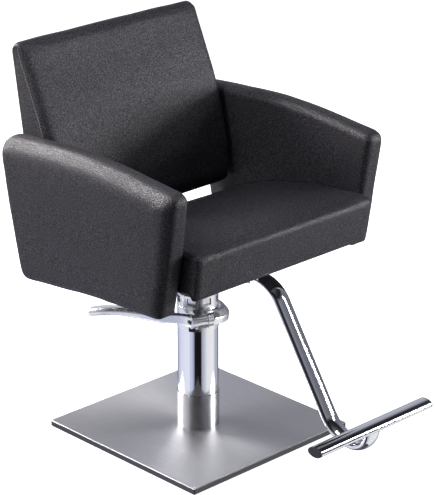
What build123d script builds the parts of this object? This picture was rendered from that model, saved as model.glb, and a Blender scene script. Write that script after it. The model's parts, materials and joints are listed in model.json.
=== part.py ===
from build123d import *
from math import atan2, cos, degrees, radians, sin, tan
import os

os.makedirs("parts", exist_ok=True)

# Styling chair on a square plate with a hydraulic column.
# Frame: +Z up, origin at the middle of the base underside on the column axis.
# The sitter faces -Y, the sitter's right hand is on the -X side. Millimetres.

# ---------------------------------------------------------------- base
plate_side = 450.0
plate_corner_r = 3.0
pad_thick = 1.5
pad_side = 440.0
plate_thick = 12.5
plate_top = pad_thick + plate_thick          # 14
base_bolt_circle_r = 30.0
base_bolt_r = 5.0

# ---------------------------------------------------------------- column
socket_r = 45.5
socket_top = 92.0
column_r = 43.75
column_wall = 3.0
column_top = 241.0
cylinder_r = 24.0
bore_r = 19.05
piston_r = 19.0
rod_r = 18.0
spigot_r = 15.0
skirt_r = 44.8
head_r = 44.0
head_z0 = 261.0
head_z1 = 291.0
lift_travel = 140.0

# ---------------------------------------------------------------- pump lever
hinge_x, hinge_y, hinge_z = -38.0, -51.0, 276.0
hinge_dir = 159.0                            # direction of the pin in plan, degrees
knuckle_half = 10.25
knuckle_r = 13.0
pin_r = 5.0
web_r0, web_r1 = 13.6, 17.4

# ---------------------------------------------------------------- seat
hub_z0 = 291.5
hub_ring_z1 = 322.0
hub_r = 44.0
seat_slope = 0.0963                          # fall of the seat underside per mm to the rear
seat_z = 421.0                               # seat underside above the column axis
board_thick = 12.0
mount_plate_thick = 6.0
cushion_half = 249.5

# ---------------------------------------------------------------- arms and back
arm_in = 250.5
arm_out = 304.0
back_half = 245.0

# ---------------------------------------------------------------- footrest
tube_a, tube_b, tube_wall = 20.0, 9.5, 2.0
bar_y, bar_z = -497.5, 173.0
bar_a, bar_b, bar_wall = 18.0, 10.5, 1.6
bar_half = 160.0

# plane of the seat underside, z_dir pointing up into the seat
tilt = Plane(origin=(0, 0, seat_z), x_dir=(1, 0, 0), z_dir=(0, seat_slope, 1))
pin_ax = (cos(radians(hinge_dir)), sin(radians(hinge_dir)), 0)
# plane across the hinge pin: z_dir along the pin, x_dir straight up
pin_plane = Plane(origin=(hinge_x, hinge_y, hinge_z), x_dir=(0, 0, 1), z_dir=pin_ax)


def on_tilt(x, y, z=0.0):
    """A point given on the seat underside plane, in the chair's frame."""
    return tilt.from_local_coords(Vector(x, y, z))


# ============================================================ base plate
with BuildPart() as base_plate:
    with BuildSketch(Plane.XY.offset(pad_thick)):
        RectangleRounded(plate_side, plate_side, plate_corner_r)
    extrude(amount=plate_thick)
    chamfer(base_plate.faces().sort_by(Axis.Z)[-1].edges(), 1.2)
    # countersunk holes for the bolts that come up from below
    with Locations(*[Location((base_bolt_circle_r * cos(radians(a)),
                               base_bolt_circle_r * sin(radians(a)), pad_thick), (180, 0, 0))
                     for a in (45, 135, 225, 315)]):
        CounterSinkHole(radius=base_bolt_r + 0.3, counter_sink_radius=10.3, depth=plate_thick)
base_plate.part.label = "base_plate"
export_step(base_plate.part, "parts/base_plate.step")

with BuildPart() as floor_pad:
    with BuildSketch(Plane.XY):
        RectangleRounded(pad_side, pad_side, 4.0)
    extrude(amount=pad_thick)
floor_pad.part.label = "floor_pad"
export_step(floor_pad.part, "parts/floor_pad.step")

with BuildPart() as base_bolts:
    for a in (45, 135, 225, 315):
        bx, by = base_bolt_circle_r * cos(radians(a)), base_bolt_circle_r * sin(radians(a))
        with BuildSketch(Plane(origin=(bx, by, pad_thick + 0.1))):
            Circle(9.8)
        extrude(amount=4.9, taper=44)
        with BuildSketch(Plane(origin=(bx, by, pad_thick + 3.0))):
            Circle(base_bolt_r)
        extrude(amount=25.0)
base_bolts.part.label = "base_bolts"
export_step(base_bolts.part, "parts/base_bolts.step")

# flange inside the foot of the column, tapped for the base bolts
with BuildPart() as foot_flange:
    with BuildSketch(Plane.XY.offset(plate_top)):
        Circle(column_r - column_wall - 0.05)
        with PolarLocations(base_bolt_circle_r, 4, start_angle=45):
            Circle(base_bolt_r, mode=Mode.SUBTRACT)
    extrude(amount=20.0)
    with BuildSketch(Plane.XY.offset(plate_top + 10.0)):
        Circle(cylinder_r)
    extrude(amount=10.0, mode=Mode.SUBTRACT)
    # the bolt tips pass beside the cylinder seat
foot_flange.part.label = "foot_flange"
export_step(foot_flange.part, "parts/foot_flange.step")

with BuildPart() as base_socket:
    with BuildSketch(Plane.XY.offset(plate_top)):
        Circle(socket_r)
        Circle(column_r + 0.05, mode=Mode.SUBTRACT)
    extrude(amount=socket_top - plate_top)
    fillet(base_socket.edges().filter_by(GeomType.CIRCLE).group_by(Axis.Z)[-1].sort_by(SortBy.LENGTH)[-1], 1.2)
base_socket.part.label = "base_socket"
export_step(base_socket.part, "parts/base_socket.step")

with BuildPart() as column_tube:
    with BuildSketch(Plane.XY.offset(plate_top)):
        Circle(column_r)
        Circle(column_r - column_wall, mode=Mode.SUBTRACT)
    extrude(amount=column_top - plate_top)
column_tube.part.label = "column_tube"
export_step(column_tube.part, "parts/column_tube.step")

with BuildPart() as pressure_cylinder:
    with BuildSketch(Plane.XY.offset(plate_top + 10.0)):
        Circle(cylinder_r)
    extrude(amount=6.0)
    with BuildSketch(Plane.XY.offset(plate_top + 16.0)):
        Circle(cylinder_r)
        Circle(bore_r, mode=Mode.SUBTRACT)
    extrude(amount=236.0 - plate_top - 16.0)
pressure_cylinder.part.label = "pressure_cylinder"
export_step(pressure_cylinder.part, "parts/pressure_cylinder.step")

# ring that closes the top of the column
with BuildPart() as skirt_ring:
    with BuildSketch(Plane.XY.offset(column_top)):
        Circle(skirt_r)
    extrude(amount=head_z0 - column_top)
    fillet(skirt_ring.edges().filter_by(GeomType.CIRCLE).group_by(Axis.Z)[-1], 2.0)
    with BuildSketch(Plane.XY.offset(column_top)):
        Circle(column_r - column_wall - 0.05)
    extrude(amount=-12.0)
    with BuildSketch(Plane.XY.offset(column_top - 12.0)):
        Circle(cylinder_r)
    extrude(amount=40.0, mode=Mode.SUBTRACT)
skirt_ring.part.label = "skirt_ring"
export_step(skirt_ring.part, "parts/skirt_ring.step")

# cast pump head with the lug that carries the lever hinge
with BuildPart() as pump_head:
    with BuildSketch(Plane.XY.offset(head_z0)):
        Circle(head_r)
    extrude(amount=head_z1 - head_z0)
    fillet(pump_head.edges().filter_by(GeomType.CIRCLE).group_by(Axis.Z)[-1], 2.5)
    with BuildSketch(Plane(origin=(hinge_x, hinge_y, head_z0 + 3.0), x_dir=pin_ax, z_dir=(0, 0, 1))):
        with Locations((0, -17.5)):
            Rectangle(2 * knuckle_half, 35.0)
    extrude(amount=23.0)
    with BuildSketch(pin_plane):
        Circle(knuckle_r)
    extrude(amount=knuckle_half, both=True)
    with BuildSketch(pin_plane):
        Circle(pin_r + 0.05)
    extrude(amount=40.0, both=True, mode=Mode.SUBTRACT)
    with BuildSketch(Plane.XY.offset(head_z0)):
        Circle(cylinder_r)
    extrude(amount=head_z1 - head_z0, mode=Mode.SUBTRACT)
pump_head.part.label = "pump_head"
export_step(pump_head.part, "parts/pump_head.step")

with BuildPart() as guide_bush:
    with BuildSketch(Plane.XY.offset(236.0)):
        Circle(cylinder_r)
        Circle(rod_r + 0.05, mode=Mode.SUBTRACT)
    extrude(amount=48.0)
guide_bush.part.label = "guide_bush"
export_step(guide_bush.part, "parts/guide_bush.step")

with BuildPart() as rod_seal:
    with BuildSketch(Plane.XY.offset(284.0)):
        Circle(cylinder_r)
        Circle(rod_r + 0.03, mode=Mode.SUBTRACT)
    extrude(amount=5.0)
rod_seal.part.label = "rod_seal"
export_step(rod_seal.part, "parts/rod_seal.step")

with BuildPart() as gland_nut:
    with BuildSketch(Plane.XY.offset(289.0)):
        Circle(cylinder_r)
    extrude(amount=2.0)
    with BuildSketch(Plane.XY.offset(291.0)):
        RegularPolygon(radius=28.0, side_count=6)
    extrude(amount=10.0)
    with BuildSketch(Plane.XY.offset(289.0)):
        Circle(rod_r + 0.35)
    extrude(amount=12.0, mode=Mode.SUBTRACT)
gland_nut.part.label = "gland_nut"
export_step(gland_nut.part, "parts/gland_nut.step")

# small rubber block on the column ring, under the lever
bump_a = radians(-148.3)
with BuildPart() as lever_bumper:
    with BuildSketch(Plane(origin=(cos(bump_a) * (skirt_r + 0.02), sin(bump_a) * (skirt_r + 0.02), 247.5),
                           x_dir=(-sin(bump_a), cos(bump_a), 0), z_dir=(cos(bump_a), sin(bump_a), 0))):
        RectangleRounded(14.0, 10.0, 1.2)
    extrude(amount=4.0)
    with BuildSketch(Plane(origin=(cos(bump_a) * (skirt_r + 0.02), sin(bump_a) * (skirt_r + 0.02), 247.5),
                           x_dir=(-sin(bump_a), cos(bump_a), 0), z_dir=(cos(bump_a), sin(bump_a), 0))):
        RectangleRounded(14.0, 10.0, 1.2)
    extrude(amount=-3.0)
    with BuildSketch(Plane.XY.offset(235.0)):
        Circle(skirt_r)
    extrude(amount=25.0, mode=Mode.SUBTRACT)
lever_bumper.part.label = "lever_bumper"
export_step(lever_bumper.part, "parts/lever_bumper.step")

# ============================================================ pump lever
# (fraction of length, width, height, centre height) of the blade
lever_foot = (-55.0, -42.0)
lever_tip = (-157.0, 165.0)
lever_sections = [
    (0.00, 16.0, 28.5, 276.2), (0.30, 18.0, 26.0, 276.5), (0.60, 22.0, 21.0, 277.5),
    (0.81, 27.0, 18.0, 275.0), (0.93, 29.0, 17.5, 270.0), (1.00, 25.0, 15.0, 266.5),
]
lever_dir = (lever_tip[0] - lever_foot[0], lever_tip[1] - lever_foot[1], 0)
# the short side of the fork is a wing that curves round the pump head, leaning down to the left
wing_z = 277.9
wing_lean = 0.118
wing_from, wing_arc = -113.0, 113.0
wing_ax = Vector(wing_lean * cos(radians(-15)), wing_lean * sin(radians(-15)), 1).normalized()
wing_out = Vector(cos(radians(wing_from)), sin(radians(wing_from)), 0)
wing_out = (wing_out - wing_ax * wing_out.dot(wing_ax)).normalized()
with BuildPart() as lever_arm:
    for f, w, h, z in lever_sections:
        with BuildSketch(Plane(origin=(lever_foot[0] + f * lever_dir[0], lever_foot[1] + f * lever_dir[1], z),
                               x_dir=(-lever_dir[1], lever_dir[0], 0), z_dir=lever_dir)):
            RectangleRounded(w, h, min(w, h) * 0.42)
    loft()
    with BuildSketch(Plane(origin=(0, 0, wing_z), x_dir=wing_out, z_dir=wing_out.cross(wing_ax))):
        with BuildLine():
            Polyline((44, -15), (44, 11), (56, 11), (66, 0.8), (67, -1), (67, -14), (65.5, -15), close=True)
        make_face()
    revolve(axis=Axis((0, 0, wing_z), (wing_ax.X, wing_ax.Y, wing_ax.Z)), revolution_arc=wing_arc)
    with BuildSketch(Plane.XY.offset(240.0)):
        Circle(48.5)
    extrude(amount=60.0, mode=Mode.SUBTRACT)
    # outer and inner cheeks of the fork
    with BuildSketch(pin_plane.offset(knuckle_half + 0.4)):
        Circle(14.6)
    extrude(amount=14.0)
    with BuildSketch(pin_plane.offset(-knuckle_half - 0.4)):
        Circle(14.6)
    extrude(amount=-12.0)
    with BuildSketch(pin_plane):
        Circle(22.0)
    extrude(amount=knuckle_half + 0.4, both=True, mode=Mode.SUBTRACT)
    # the two sides are joined by a web that passes under and in front of the knuckle
    with BuildSketch(pin_plane):
        with BuildLine():
            web_a, web_m, web_b = radians(178), radians(197), radians(216)
            ThreePointArc((web_r0 * cos(web_a), web_r0 * sin(web_a)), (web_r0 * cos(web_m), web_r0 * sin(web_m)),
                          (web_r0 * cos(web_b), web_r0 * sin(web_b)))
            Line((web_r0 * cos(web_b), web_r0 * sin(web_b)), (web_r1 * cos(web_b), web_r1 * sin(web_b)))
            ThreePointArc((web_r1 * cos(web_b), web_r1 * sin(web_b)), (web_r1 * cos(web_m), web_r1 * sin(web_m)),
                          (web_r1 * cos(web_a), web_r1 * sin(web_a)))
            Line((web_r1 * cos(web_a), web_r1 * sin(web_a)), (web_r0 * cos(web_a), web_r0 * sin(web_a)))
        make_face()
    extrude(amount=knuckle_half + 3.0, both=True)
    with BuildSketch(pin_plane):
        Circle(pin_r)
    extrude(amount=30.0, both=True, mode=Mode.SUBTRACT)
lever_arm.part.label = "lever_arm"
export_step(lever_arm.part, "parts/lever_arm.step")

with BuildPart() as hinge_pin:
    with BuildSketch(pin_plane.offset(-knuckle_half - 12.0)):
        Circle(pin_r)
    extrude(amount=2 * knuckle_half + 12.0 + 14.0)
hinge_pin.part.label = "hinge_pin"
export_step(hinge_pin.part, "parts/hinge_pin.step")

# ============================================================ lifting rod
with BuildPart() as piston_rod:
    with BuildSketch(Plane.XY.offset(70.0)):
        Circle(rod_r)
    extrude(amount=330.0 - 70.0)
    with BuildSketch(Plane.XY.offset(330.0)):
        Circle(spigot_r)
    extrude(amount=376.2 - 330.0)
    with BuildSketch(Plane.XY.offset(346.0)):
        Circle(6.0)
    extrude(amount=40.0, mode=Mode.SUBTRACT)
    with BuildSketch(Plane.XY.offset(70.0)):
        Circle(8.0)
    extrude(amount=25.0, mode=Mode.SUBTRACT)
piston_rod.part.label = "piston_rod"
export_step(piston_rod.part, "parts/piston_rod.step")

with BuildPart() as piston:
    with BuildSketch(Plane.XY.offset(45.0)):
        Circle(piston_r)
    extrude(amount=25.0)
    with BuildSketch(Plane.XY.offset(54.0)):
        Circle(piston_r)
        Circle(piston_r - 3.0, mode=Mode.SUBTRACT)
    extrude(amount=6.0, mode=Mode.SUBTRACT)
    with BuildSketch(Plane.XY.offset(70.0)):
        Circle(8.0)
    extrude(amount=25.0)
piston.part.label = "piston"
export_step(piston.part, "parts/piston.step")

with BuildPart() as piston_seal:
    with BuildSketch(Plane.XY.offset(54.0)):
        Circle(piston_r + 0.02)
        Circle(piston_r - 3.0, mode=Mode.SUBTRACT)
    extrude(amount=6.0)
piston_seal.part.label = "piston_seal"
export_step(piston_seal.part, "parts/piston_seal.step")

with BuildPart() as thrust_washer:
    with BuildSketch(Plane.XY.offset(330.0)):
        Circle(rod_r + 3.0)
        Circle(spigot_r, mode=Mode.SUBTRACT)
    extrude(amount=3.0)
thrust_washer.part.label = "thrust_washer"
export_step(thrust_washer.part, "parts/thrust_washer.step")

with BuildPart() as retaining_washer:
    with BuildSketch(Plane.XY.offset(376.2)):
        Circle(20.0)
        Circle(6.0, mode=Mode.SUBTRACT)
    extrude(amount=3.0)
retaining_washer.part.label = "retaining_washer"
export_step(retaining_washer.part, "parts/retaining_washer.step")

with BuildPart() as hub_bolt:
    with BuildSketch(Plane.XY.offset(348.0)):
        Circle(6.0)
    extrude(amount=31.2)
    with BuildSketch(Plane.XY.offset(379.2)):
        RegularPolygon(radius=10.4, side_count=6)
    extrude(amount=7.5)
hub_bolt.part.label = "hub_bolt"
export_step(hub_bolt.part, "parts/hub_bolt.step")

# ============================================================ seat support
# cast hub: a ring with eight pockets, a tube and four ribs up to the mounting plate
rib_r1 = 100.0
with BuildPart() as seat_hub:
    with BuildSketch(Plane.XY.offset(hub_z0)):
        Circle(hub_r)
    extrude(amount=hub_ring_z1 - hub_z0)
    chamfer(seat_hub.edges().filter_by(GeomType.CIRCLE).group_by(Axis.Z)[-1], 3.0)
    with BuildSketch(Plane.XY.offset(hub_ring_z1 - 4.0)):
        Circle(29.0)
    extrude(amount=130.0)
    for a in (45, 135, 225, 315):
        with BuildSketch(Plane(origin=(0, 0, 0), x_dir=(cos(radians(a)), sin(radians(a)), 0),
                               z_dir=(sin(radians(a)), -cos(radians(a)), 0))):
            with BuildLine():
                Polyline((24, hub_ring_z1 - 4.0), (40, hub_ring_z1 - 4.0), (52, 360.0), (rib_r1, 396.0),
                         (rib_r1, 450.0), (24, 450.0), close=True)
            make_face()
        extrude(amount=4.5, both=True)
    # eight pockets round the ring
    for k in range(8):
        pa = radians(-152.3 + 45.0 * k)
        with BuildSketch(Plane(origin=(cos(pa) * (hub_r - 4.0), sin(pa) * (hub_r - 4.0), 307.5),
                               x_dir=(-sin(pa), cos(pa), 0), z_dir=(cos(pa), sin(pa), 0))):
            RectangleRounded(19.0, 15.0, 1.5)
        extrude(amount=12.0, mode=Mode.SUBTRACT)
    # stepped bore
    with BuildSketch(Plane.XY.offset(hub_z0)):
        Circle(31.0)
    extrude(amount=12.5, mode=Mode.SUBTRACT)
    with BuildSketch(Plane.XY.offset(304.0)):
        Circle(24.0)
    extrude(amount=29.3, mode=Mode.SUBTRACT)
    with BuildSketch(Plane.XY.offset(333.0)):
        Circle(19.0)
    extrude(amount=44.0, mode=Mode.SUBTRACT)
    with BuildSketch(Plane.XY.offset(376.0)):
        Circle(24.0)
    extrude(amount=90.0, mode=Mode.SUBTRACT)
    split(bisect_by=tilt.offset(-mount_plate_thick), keep=Keep.BOTTOM)
seat_hub.part.label = "seat_hub"
export_step(seat_hub.part, "parts/seat_hub.step")

with BuildPart() as swivel_bush:
    with BuildSketch(Plane.XY.offset(333.05)):
        Circle(19.0)
        Circle(spigot_r + 0.05, mode=Mode.SUBTRACT)
    extrude(amount=376.0 - 333.05)
swivel_bush.part.label = "swivel_bush"
export_step(swivel_bush.part, "parts/swivel_bush.step")

plate_bolt_xy = [(sx * 85.0, sy * 75.0) for sx in (-1, 1) for sy in (-1, 1)]
with BuildPart() as mount_plate:
    with BuildSketch(tilt.offset(-mount_plate_thick)):
        RectangleRounded(210.0, 190.0, 12.0)
        Circle(24.0, mode=Mode.SUBTRACT)
        with Locations(*plate_bolt_xy):
            Circle(4.0, mode=Mode.SUBTRACT)
    extrude(amount=mount_plate_thick)
mount_plate.part.label = "mount_plate"
export_step(mount_plate.part, "parts/mount_plate.step")

with BuildPart() as plate_bolts:
    with BuildSketch(tilt.offset(-mount_plate_thick)):
        with Locations(*plate_bolt_xy):
            Circle(4.0)
    extrude(amount=mount_plate_thick + 9.0)
    with BuildSketch(tilt.offset(-mount_plate_thick - 5.3)):
        with Locations(*plate_bolt_xy):
            RegularPolygon(radius=7.5, side_count=6)
    extrude(amount=5.3)
plate_bolts.part.label = "plate_bolts"
export_step(plate_bolts.part, "parts/plate_bolts.step")

# back straps: flat bars from under the seat board up behind the backrest
strap_x, strap_w, strap_t = 80.0, 40.0, 6.0
back_rear0 = (232.0, 463.0)                  # lowest point of the back's rear face (Y, Z)
back_rear1 = (291.0, 833.0)
rear_slope = (back_rear1[0] - back_rear0[0]) / (back_rear1[1] - back_rear0[1])


def rear_y(z, off=0.0):
    """Y of the backrest's rear face at a height, moved off behind it."""
    return back_rear0[0] + (z - back_rear0[1]) * rear_slope + off / cos(atan2(rear_slope, 1))


def back_face(x, z):
    """Plane on the backrest's rear face at a point, z_dir pointing out of the face."""
    return Plane(origin=(x, rear_y(z), z), x_dir=(1, 0, 0), z_dir=(0, 1, -rear_slope))


strap_floor = [on_tilt(0, 104.0, -strap_t / 2), on_tilt(0, 300.0, -strap_t / 2)]
strap_top_z = 610.0
# corner where the floor run meets the rising run
fs = (strap_floor[1].Z - strap_floor[0].Z) / (strap_floor[1].Y - strap_floor[0].Y)
corner_z = (strap_floor[0].Z + fs * (rear_y(0, strap_t / 2) - strap_floor[0].Y)) / (1 - fs * rear_slope)
corner = (rear_y(corner_z, strap_t / 2), corner_z)
strap_holes_floor = (116.0, 148.0)
strap_holes_back = (520.0, 590.0)

straps = {}
for side, sx in (("left", 1), ("right", -1)):
    with BuildPart() as strap:
        with BuildLine() as strap_path:
            FilletPolyline((sx * strap_x, strap_floor[0].Y, strap_floor[0].Z),
                           (sx * strap_x, corner[0], corner[1]),
                           (sx * strap_x, rear_y(strap_top_z, strap_t / 2), strap_top_z), radius=16.0)
        with BuildSketch(Plane(origin=(sx * strap_x, strap_floor[0].Y, strap_floor[0].Z), x_dir=(1, 0, 0),
                               z_dir=(0, 1, fs))):
            Rectangle(strap_w, strap_t)
        sweep()
        with BuildSketch(tilt.offset(-30.0)):
            with Locations(*[(sx * strap_x, y) for y in strap_holes_floor]):
                Circle(4.0)
        extrude(amount=60.0, mode=Mode.SUBTRACT)
        for z in strap_holes_back:
            with BuildSketch(back_face(sx * strap_x, z)):
                Circle(4.0)
            extrude(amount=20.0, both=True, mode=Mode.SUBTRACT)
    strap.part.label = "back_strap_" + side
    export_step(strap.part, "parts/back_strap_" + side + ".step")

# hex bolts that hold the straps: up into the seat board, forward into the back panel
with BuildPart() as strap_bolts:
    for sx in (-1, 1):
        with BuildSketch(tilt.offset(-strap_t)):
            with Locations(*[(sx * strap_x, y) for y in strap_holes_floor]):
                Circle(4.0)
        extrude(amount=strap_t + 9.0)
        with BuildSketch(tilt.offset(-strap_t - 5.3)):
            with Locations(*[(sx * strap_x, y) for y in strap_holes_floor]):
                RegularPolygon(radius=7.5, side_count=6)
        extrude(amount=5.3)
        for z in strap_holes_back:
            back_pl = back_face(sx * strap_x, z).offset(strap_t)
            with BuildSketch(back_pl):
                RegularPolygon(radius=7.5, side_count=6)
            extrude(amount=5.3)
            with BuildSketch(back_pl):
                Circle(4.0)
            extrude(amount=-(strap_t + 24.0))
strap_bolts.part.label = "strap_bolts"
export_step(strap_bolts.part, "parts/strap_bolts.step")

# steel angles under the seat board that carry the arms
angle_w, angle_h, angle_t = 45.0, 28.0, 4.0
angle_y0, angle_y1 = -160.0, 130.0
angle_holes = (-130.0, -15.0, 100.0)
for side, sx in (("left", 1), ("right", -1)):
    with BuildPart() as angle:
        with BuildSketch(tilt.offset(-angle_t)):
            with Locations((sx * (arm_in - 0.2 - angle_w / 2), (angle_y0 + angle_y1) / 2)):
                Rectangle(angle_w, angle_y1 - angle_y0)
        extrude(amount=angle_t)
        with BuildSketch(tilt.offset(-angle_h)):
            with Locations((sx * (arm_in - 0.2 - angle_t / 2), (angle_y0 + angle_y1) / 2)):
                Rectangle(angle_t, angle_y1 - angle_y0)
        extrude(amount=angle_h)
        with BuildSketch(tilt.offset(-20.0)):
            with Locations(*[(sx * 218.0, y) for y in angle_holes]):
                Circle(3.0)
        extrude(amount=40.0, mode=Mode.SUBTRACT)
        for y in angle_holes:
            p = on_tilt(sx * 200.0, y, -17.0)
            with BuildSketch(Plane(origin=(p.X, p.Y, p.Z), x_dir=(0, 1, 0), z_dir=(sx, 0, 0))):
                Circle(3.0)
            extrude(amount=90.0, mode=Mode.SUBTRACT)
    angle.part.label = "arm_bracket_" + side
    export_step(angle.part, "parts/arm_bracket_" + side + ".step")

with BuildPart() as bracket_bolts:
    for sx in (-1, 1):
        with BuildSketch(tilt.offset(-angle_t)):
            with Locations(*[(sx * 218.0, y) for y in angle_holes]):
                Circle(3.0)
        extrude(amount=angle_t + 9.0)
        with BuildSketch(tilt.offset(-angle_t - 4.0)):
            with Locations(*[(sx * 218.0, y) for y in angle_holes]):
                RegularPolygon(radius=5.8, side_count=6)
        extrude(amount=4.0)
        for y in angle_holes:
            p = on_tilt(sx * (arm_in - 0.2 - angle_t), y, -17.0)
            with BuildSketch(Plane(origin=(p.X, p.Y, p.Z), x_dir=(0, 1, 0), z_dir=(sx, 0, 0))):
                Circle(3.0)
            extrude(amount=32.0)
            with BuildSketch(Plane(origin=(p.X, p.Y, p.Z), x_dir=(0, 1, 0), z_dir=(-sx, 0, 0))):
                RegularPolygon(radius=5.8, side_count=6)
            extrude(amount=4.0)
bracket_bolts.part.label = "bracket_bolts"
export_step(bracket_bolts.part, "parts/bracket_bolts.step")

# ============================================================ footrest
leg_p = [(0, -60.0, 388.5), (0, -223.0, 404.9), (0, -406.9, 121.0), (0, -500.0, 121.0), (0, -500.0, 176.0)]
leg_r = [75.0, 88.0, 46.0]
leg_run = (0, leg_p[1][1] - leg_p[0][1], leg_p[1][2] - leg_p[0][2])
tube_drop = 38.1                             # tube axis below the seat underside
foot_hole_y = (-115.0, -157.0)
with BuildPart() as footrest_leg:
    with BuildLine():
        FilletPolyline(*leg_p, radius=leg_r)
    with BuildSketch(Plane(origin=leg_p[0], x_dir=(1, 0, 0), z_dir=leg_run)):
        Ellipse(tube_a, tube_b)
        Ellipse(tube_a - tube_wall, tube_b - tube_wall, mode=Mode.SUBTRACT)
    sweep()
    # the end of the hook is cut to the underside of the bar
    with BuildSketch(Plane(origin=(0, bar_y, bar_z), x_dir=(0, 1, 0), z_dir=(1, 0, 0))):
        Ellipse(bar_a, bar_b)
    extrude(amount=60.0, both=True, mode=Mode.SUBTRACT)
    for y in foot_hole_y:
        p = on_tilt(0, y, -tube_drop)
        with BuildSketch(Plane(origin=(0, p.Y, p.Z), x_dir=(0, 1, 0), z_dir=(1, 0, 0))):
            Circle(4.0)
        extrude(amount=60.0, both=True, mode=Mode.SUBTRACT)
footrest_leg.part.label = "footrest_leg"
export_step(footrest_leg.part, "parts/footrest_leg.step")

with BuildPart() as footrest_bar:
    with BuildSketch(Plane(origin=(-bar_half, bar_y, bar_z), x_dir=(0, 1, 0), z_dir=(1, 0, 0))):
        Ellipse(bar_a, bar_b)
        Ellipse(bar_a - bar_wall, bar_b - bar_wall, mode=Mode.SUBTRACT)
    extrude(amount=2 * bar_half)
footrest_bar.part.label = "footrest_bar"
export_step(footrest_bar.part, "parts/footrest_bar.step")

for side, sx in (("left", 1), ("right", -1)):
    with BuildPart() as plug:
        with BuildSketch(Plane(origin=(sx * bar_half, bar_y, bar_z), x_dir=(0, 1, 0), z_dir=(sx, 0, 0))):
            Ellipse(bar_a, bar_b)
        extrude(amount=4.0)
        fillet(plug.faces().sort_by(Axis.X)[-1 if sx > 0 else 0].edges(), 1.5)
        with BuildSketch(Plane(origin=(sx * bar_half, bar_y, bar_z), x_dir=(0, 1, 0), z_dir=(sx, 0, 0))):
            Ellipse(bar_a - bar_wall, bar_b - bar_wall)
        extrude(amount=-12.0)
    plug.part.label = "end_plug_" + side
    export_step(plug.part, "parts/end_plug_" + side + ".step")

# plug in the hidden rear end of the leg tube
with BuildPart() as leg_cap:
    with BuildSketch(Plane(origin=leg_p[0], x_dir=(1, 0, 0), z_dir=leg_run)):
        Ellipse(tube_a - tube_wall, tube_b - tube_wall)
    extrude(amount=12.0)
    with BuildSketch(Plane(origin=leg_p[0], x_dir=(1, 0, 0), z_dir=leg_run)):
        Ellipse(tube_a, tube_b)
    extrude(amount=-3.0)
leg_cap.part.label = "leg_cap"
export_step(leg_cap.part, "parts/leg_cap.step")

# bracket: a flange on the seat board with two cheeks that hold the tube
cheek_in, cheek_t = tube_a + 0.1, 4.0
with BuildPart() as footrest_bracket:
    with BuildSketch(tilt.offset(-5.0)):
        with Locations((0, -137.0)):
            RectangleRounded(96.0, 80.0, 8.0)
    extrude(amount=5.0)
    for sx in (-1, 1):
        with BuildSketch(tilt.offset(-47.0)):
            with Locations((sx * (cheek_in + cheek_t / 2), -136.0)):
                Rectangle(cheek_t, 72.0)
        extrude(amount=42.5)
    with BuildSketch(tilt.offset(-20.0)):
        with Locations(*[(sx * 38.0, y) for sx in (-1, 1) for y in foot_hole_y]):
            Circle(3.5)
    extrude(amount=40.0, mode=Mode.SUBTRACT)
    for y in foot_hole_y:
        p = on_tilt(0, y, -tube_drop)
        with BuildSketch(Plane(origin=(0, p.Y, p.Z), x_dir=(0, 1, 0), z_dir=(1, 0, 0))):
            Circle(4.0)
        extrude(amount=60.0, both=True, mode=Mode.SUBTRACT)
footrest_bracket.part.label = "footrest_bracket"
export_step(footrest_bracket.part, "parts/footrest_bracket.step")

with BuildPart() as footrest_bolts:
    # screws into the seat board
    with BuildSketch(tilt.offset(-5.0)):
        with Locations(*[(sx * 38.0, y) for sx in (-1, 1) for y in foot_hole_y]):
            Circle(3.5)
    extrude(amount=5.0 + 9.0)
    with BuildSketch(tilt.offset(-9.5)):
        with Locations(*[(sx * 38.0, y) for sx in (-1, 1) for y in foot_hole_y]):
            RegularPolygon(radius=6.6, side_count=6)
    extrude(amount=4.5)
    # cross bolts through cheeks and tube, head on the right, nut on the left
    for y in foot_hole_y:
        p = on_tilt(0, y, -tube_drop)
        with BuildSketch(Plane(origin=(-cheek_in - cheek_t, p.Y, p.Z), x_dir=(0, 1, 0), z_dir=(1, 0, 0))):
            Circle(4.0)
        extrude(amount=2 * (cheek_in + cheek_t) + 9.0)
        with BuildSketch(Plane(origin=(-cheek_in - cheek_t, p.Y, p.Z), x_dir=(0, 1, 0), z_dir=(-1, 0, 0))):
            RegularPolygon(radius=7.5, side_count=6)
        extrude(amount=5.3)
        with BuildSketch(Plane(origin=(cheek_in + cheek_t, p.Y, p.Z), x_dir=(0, 1, 0), z_dir=(1, 0, 0))):
            RegularPolygon(radius=7.5, side_count=6)
        extrude(amount=6.5)
footrest_bolts.part.label = "footrest_bolts"
export_step(footrest_bolts.part, "parts/footrest_bolts.step")

# ============================================================ seat
board_w, board_y0, board_y1 = 470.0, -238.0, 165.0
bolt_points = (
    [(x, y, 4.0) for x, y in plate_bolt_xy]
    + [(sx * strap_x, y, 4.0) for sx in (-1, 1) for y in strap_holes_floor]
    + [(sx * 218.0, y, 3.0) for sx in (-1, 1) for y in angle_holes]
    + [(sx * 38.0, y, 3.5) for sx in (-1, 1) for y in foot_hole_y]
)
with BuildPart() as seat_board:
    with BuildSketch(tilt):
        with Locations((0, (board_y0 + board_y1) / 2)):
            RectangleRounded(board_w, board_y1 - board_y0, 15.0)
        for x, y, r in bolt_points:
            with Locations((x, y)):
                Circle(r, mode=Mode.SUBTRACT)
    extrude(amount=board_thick)
seat_board.part.label = "seat_board"
export_step(seat_board.part, "parts/seat_board.step")

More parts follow.
